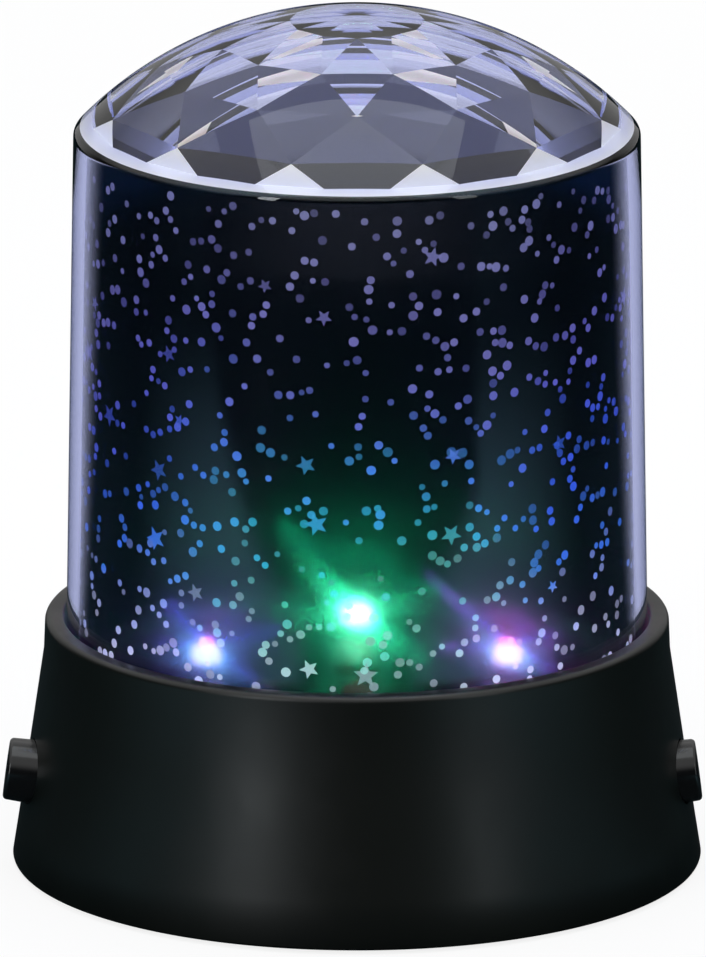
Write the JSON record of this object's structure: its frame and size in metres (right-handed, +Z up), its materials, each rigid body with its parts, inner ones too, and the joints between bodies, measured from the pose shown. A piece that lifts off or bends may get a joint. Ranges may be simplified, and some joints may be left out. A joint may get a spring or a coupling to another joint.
{
  "type": "star night light projector",
  "caption": "Table-top star projector with a clear domed cover and star film that turn on a black base over coloured lamps, with push buttons at the sides.",
  "frame": {"origin": "centre of the base, on the table that its feet stand on", "axes": "+Z up along the cover, -Y to the front, +X to the right seen from the front"},
  "size_m": [0.116, 0.1146, 0.1442],
  "materials": {
    "base_plastic": "satin black moulded plastic",
    "inner_plastic": "dark moulded plastic",
    "foot_rubber": "soft matt pad",
    "screw_steel": "zinc plated",
    "spring_steel": "nickel plated",
    "cell_wrap": "printed sleeve",
    "acetal": "natural white",
    "clear_plastic": "polished, clear",
    "printed_film": "dark film with clear dots and stars",
    "white_plastic": "satin",
    "lamp_board": "white solder mask",
    "main_board": "green solder mask",
    "lamp_green": "clear epoxy",
    "lamp_blue": "clear epoxy",
    "lamp_purple": "clear epoxy",
    "lamp_red": "clear epoxy",
    "chip_black": "moulded",
    "capacitor_sleeve": "sleeve",
    "button_gloss": "glossy black",
    "wire_cover": "insulated wire"
  },
  "bodies": {
    "base": {"base_shell": "base_plastic", "bottom_plate": "base_plastic", "feet": "foot_rubber", "bottom_screws": "screw_steel", "battery_box": "inner_plastic", "aaa_cells": "cell_wrap", "contact_springs": "spring_steel", "contact_plates": "spring_steel", "carrier": "inner_plastic", "carrier_screws": "screw_steel", "motor_can": "spring_steel", "gearbox_case": "acetal", "motor_screws": "screw_steel", "light_deck": "white_plastic", "deck_screws": "screw_steel", "led_board": "lamp_board", "led_board_screws": "screw_steel", "led_green": "lamp_green", "led_blue": "lamp_blue", "led_purple": "lamp_purple", "led_red": "lamp_red", "main_board": "main_board", "board_screws": "screw_steel", "control_chip": "chip_black", "capacitor": "capacitor_sleeve", "usb_socket": "spring_steel", "switch_left": "chip_black", "switch_right": "chip_black", "battery_wires": "wire_cover", "motor_wires": "wire_cover", "led_wires": "wire_cover", "switch_wires": "wire_cover"},
    "turntable": {"turntable": "inner_plastic", "clear_cover": "clear_plastic", "star_film": "printed_film"},
    "pinion": {"output_shaft": "spring_steel", "pinion": "acetal"},
    "button_left": {"button_left": "button_gloss", "plunger_left": "acetal"},
    "button_right": {"button_right": "button_gloss", "plunger_right": "acetal"},
    "battery_door": {"battery_door": "base_plastic", "door_screw": "screw_steel"}
  },
  "joints": [
    {"name": "turntable_spin", "type": "hinge", "parent": "base", "child": "turntable", "pos_m": [0, 0, 0.0285], "axis": [0, 0, 1], "continuous": true},
    {"name": "pinion_spin", "type": "hinge", "parent": "base", "child": "pinion", "pos_m": [0, -0.036, 0.027], "axis": [0, 0, 1], "continuous": true},
    {"name": "button_left_press", "type": "slide", "parent": "base", "child": "button_left", "axis": [0.9903, 0, -0.1392], "range_m": [0, 0.0018], "stiffness_N_per_m": 400, "springref_m": -0.0008},
    {"name": "button_right_press", "type": "slide", "parent": "base", "child": "button_right", "axis": [-0.9903, 0, -0.1392], "range_m": [-0.0015, 0.0003]},
    {"name": "battery_door_hinge", "type": "hinge", "parent": "base", "child": "battery_door", "pos_m": [0, -0.023, 0.0018], "axis": [-1, 0, 0], "range_deg": [0, 105]}
  ],
  "couplings": [
    {"joint": "pinion_spin", "follows": "turntable_spin", "ratio": 7}
  ]
}
